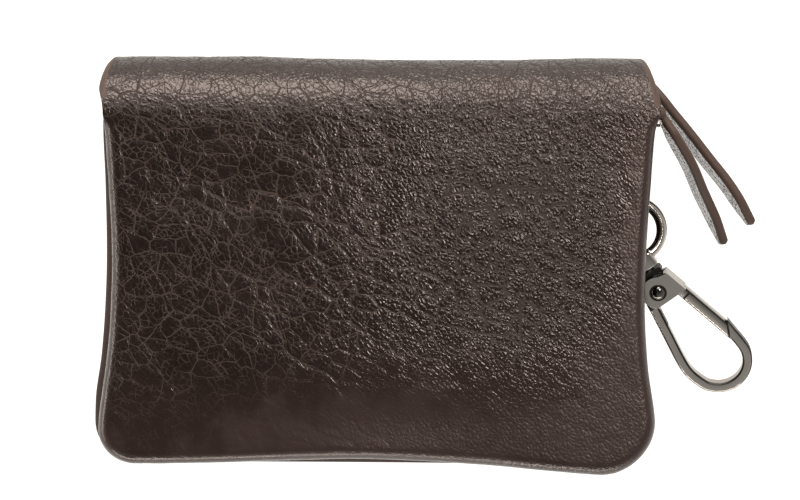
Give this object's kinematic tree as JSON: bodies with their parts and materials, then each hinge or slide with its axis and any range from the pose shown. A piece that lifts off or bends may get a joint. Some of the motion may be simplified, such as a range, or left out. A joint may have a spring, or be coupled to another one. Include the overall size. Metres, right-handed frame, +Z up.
{
  "type": "mini wallet",
  "caption": "Soft leather fold-over mini wallet with a zip pouch in each half, leather zip pulls and a swivel snap hook with a sprung gate.",
  "frame": {"origin": "on the flat back panel that the wallet lies on, under the middle of the wallet", "axes": "+X to the right, towards the zip pulls and hook; +Y towards the fold; +Z up, out of the front panel"},
  "size_m": [0.1437, 0.089, 0.0256],
  "materials": {
    "outer_leather": "creased, semi-gloss dark brown",
    "inner_leather": "smooth grained dark brown",
    "pull_leather": "grained dark brown with painted brown edges",
    "zip_cloth": "woven dark brown tape with metal teeth",
    "gunmetal": "polished gunmetal plate"
  },
  "bodies": {
    "wallet": {"outer_wrap": "outer_leather", "front_inner_panel": "inner_leather", "back_inner_panel": "inner_leather", "front_zip": "zip_cloth", "back_zip": "zip_cloth", "front_slider": "gunmetal", "back_slider": "gunmetal", "front_pull_ring": "gunmetal", "back_pull_ring": "gunmetal", "front_pull_strap": "pull_leather", "back_pull_strap": "pull_leather", "hook_loop": "inner_leather", "bail": "gunmetal"},
    "hook": {"hook_body": "gunmetal", "gate_rivet": "gunmetal"},
    "gate": {"hook_gate": "gunmetal"}
  },
  "joints": [
    {"name": "hook_swivel", "type": "hinge", "parent": "wallet", "child": "hook", "pos_m": [0.0579, -0.0015, 0.0102], "axis": [0.6101, -0.7534, -0.2453], "continuous": true},
    {"name": "gate_hinge", "type": "hinge", "parent": "hook", "child": "gate", "pos_m": [0.06015, -0.00536, 0.0089], "axis": [0.052, 0.347, -0.9364], "range_deg": [0, 24], "stiffness_Nm_per_rad": 0.01, "springref_deg": -17.19}
  ]
}
